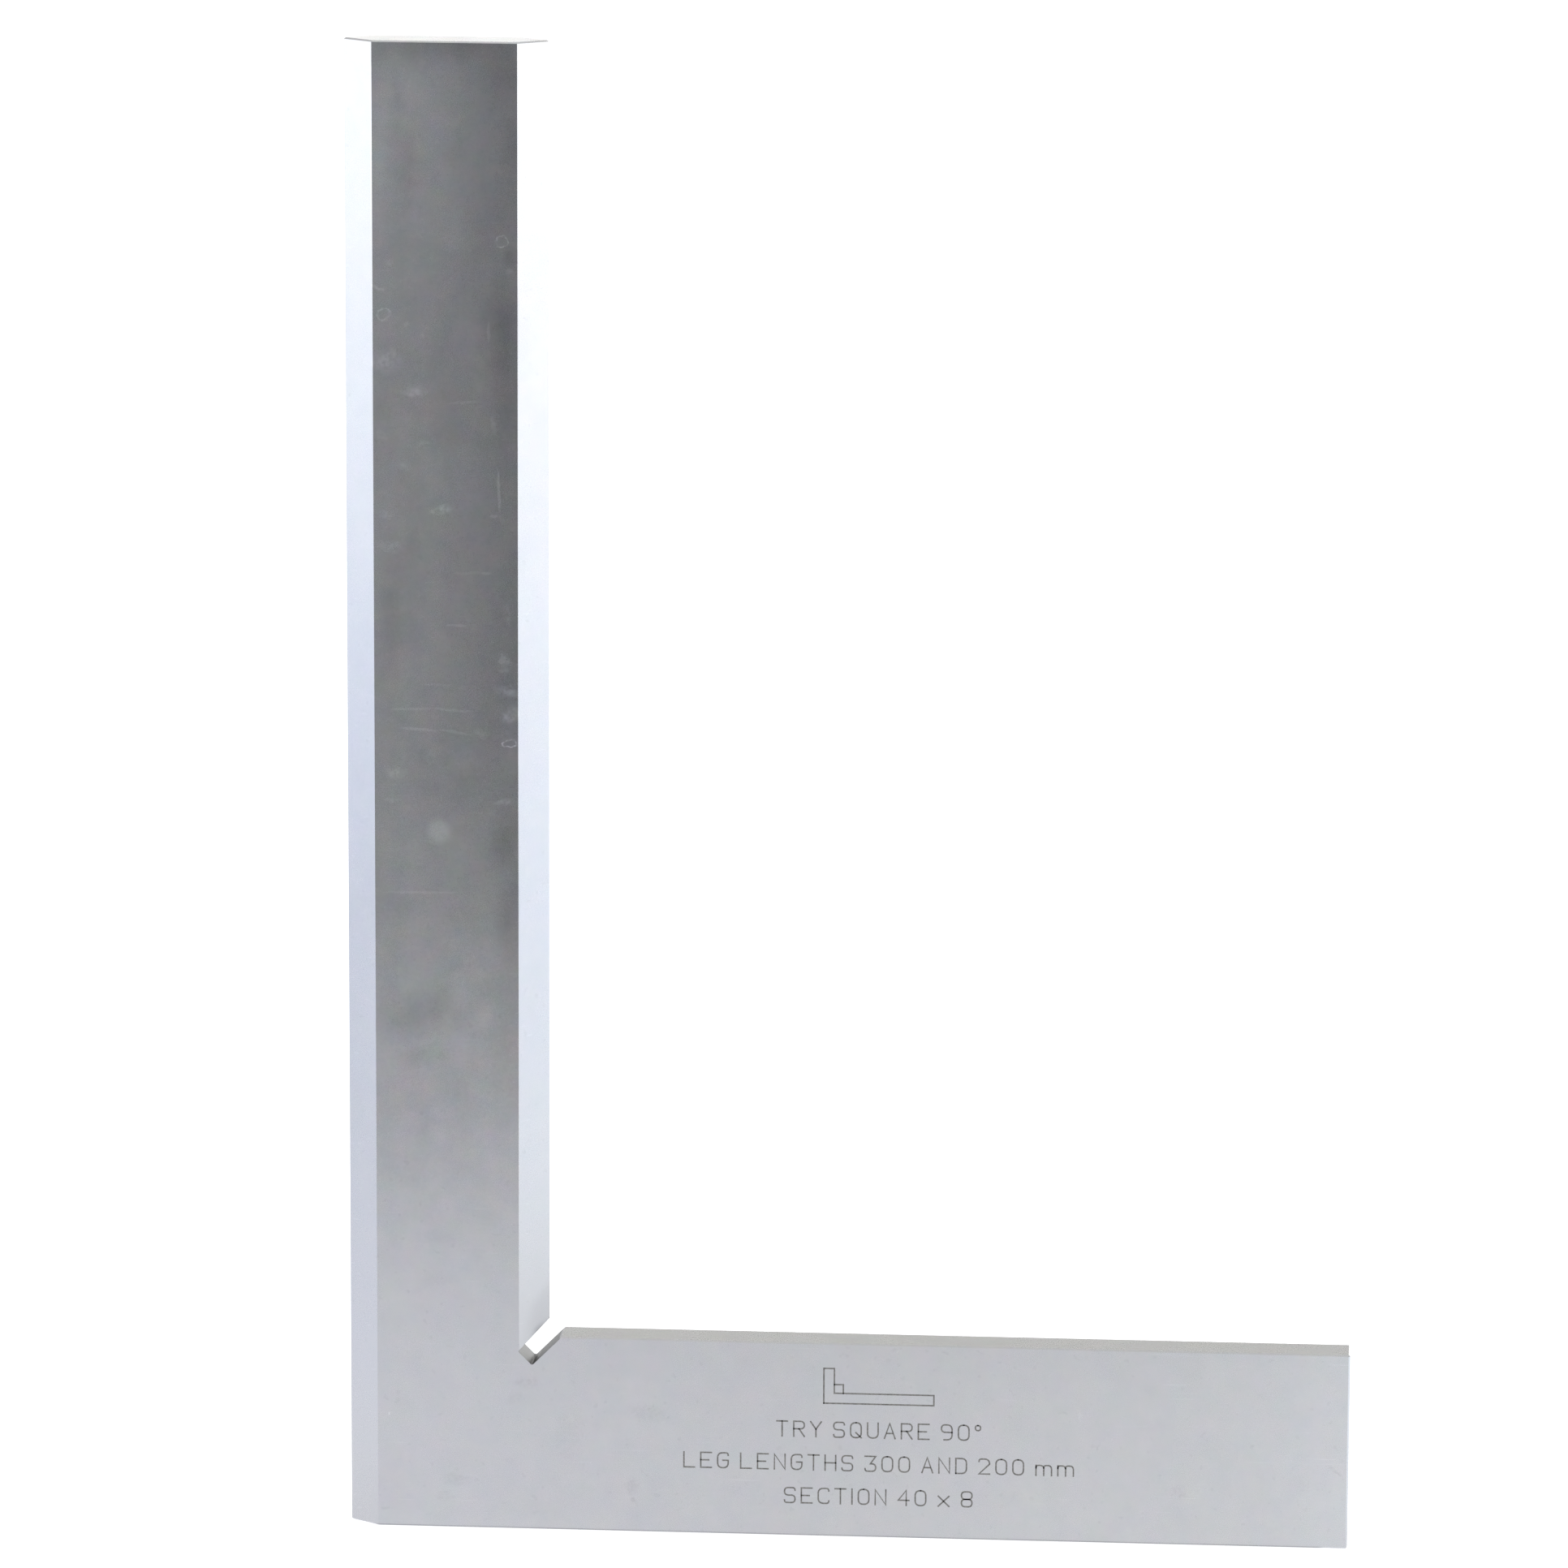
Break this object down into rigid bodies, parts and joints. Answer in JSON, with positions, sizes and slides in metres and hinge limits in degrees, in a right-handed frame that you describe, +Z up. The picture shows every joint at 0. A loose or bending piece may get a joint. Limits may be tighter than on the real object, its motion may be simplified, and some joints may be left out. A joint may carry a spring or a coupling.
{
  "type": "bevelled-edge try square",
  "caption": "One-piece steel L-shaped try square: long blade with knife edges bevelled on both faces, short flat base, and a diagonal relief slot in the inner corner.",
  "frame": {"origin": "middle of the base's length and thickness, on the standing face", "axes": "+Z up the blade, +X along the base from the blade towards its free end, Y through the thickness, with the marked front face at -Y"},
  "size_m": [0.2, 0.008, 0.3],
  "materials": {
    "ground_steel": "ground and lapped satin stainless steel"
  },
  "bodies": {
    "root": {"blade_and_base": "ground_steel"}
  },
  "joints": []
}
